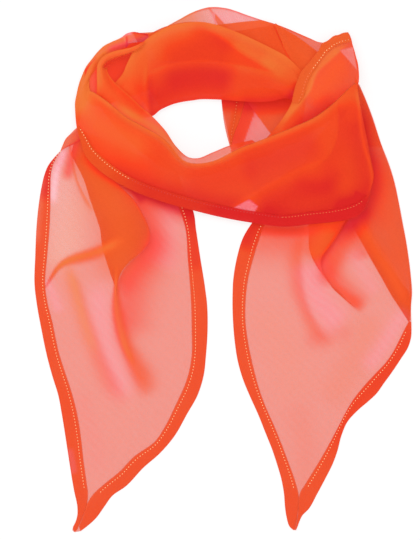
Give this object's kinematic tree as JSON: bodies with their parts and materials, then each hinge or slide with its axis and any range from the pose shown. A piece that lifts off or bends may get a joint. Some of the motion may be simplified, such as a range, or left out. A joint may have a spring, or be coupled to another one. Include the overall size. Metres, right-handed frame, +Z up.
{
  "type": "chiffon scarf",
  "caption": "Sheer chiffon scarf laid flat, wound into a soft ring of folds with two pointed, hemmed tails spread below it.",
  "frame": {"origin": "middle of the scarf's outline, seen from above, on the surface that it lies on", "axes": "+Z up from the surface, +Y from the tips of the tails towards the top of the ring, +X to the right seen from above"},
  "size_m": [0.3396, 0.4724, 0.0239],
  "materials": {
    "chiffon": "sheer plain weave, matt",
    "chiffon_hem": "turned twice and topstitched",
    "chiffon_folds": "many layers, matt"
  },
  "bodies": {
    "root": {"left_tail": "chiffon", "left_tail_hem_outer": "chiffon_hem", "left_tail_hem_inner": "chiffon_hem", "right_tail": "chiffon", "right_tail_flap": "chiffon", "right_tail_hem_inner": "chiffon_hem", "right_tail_hem_outer": "chiffon_hem", "front_band": "chiffon", "front_hem": "chiffon_hem", "front_under": "chiffon", "left_turn": "chiffon", "back_band": "chiffon", "outer_back": "chiffon", "under_layer": "chiffon", "turnover": "chiffon", "turnover_hem": "chiffon_hem", "folds_front_left": "chiffon_folds", "folds_front_right": "chiffon_folds", "folds_back": "chiffon_folds", "folds_left": "chiffon_folds"}
  },
  "joints": []
}
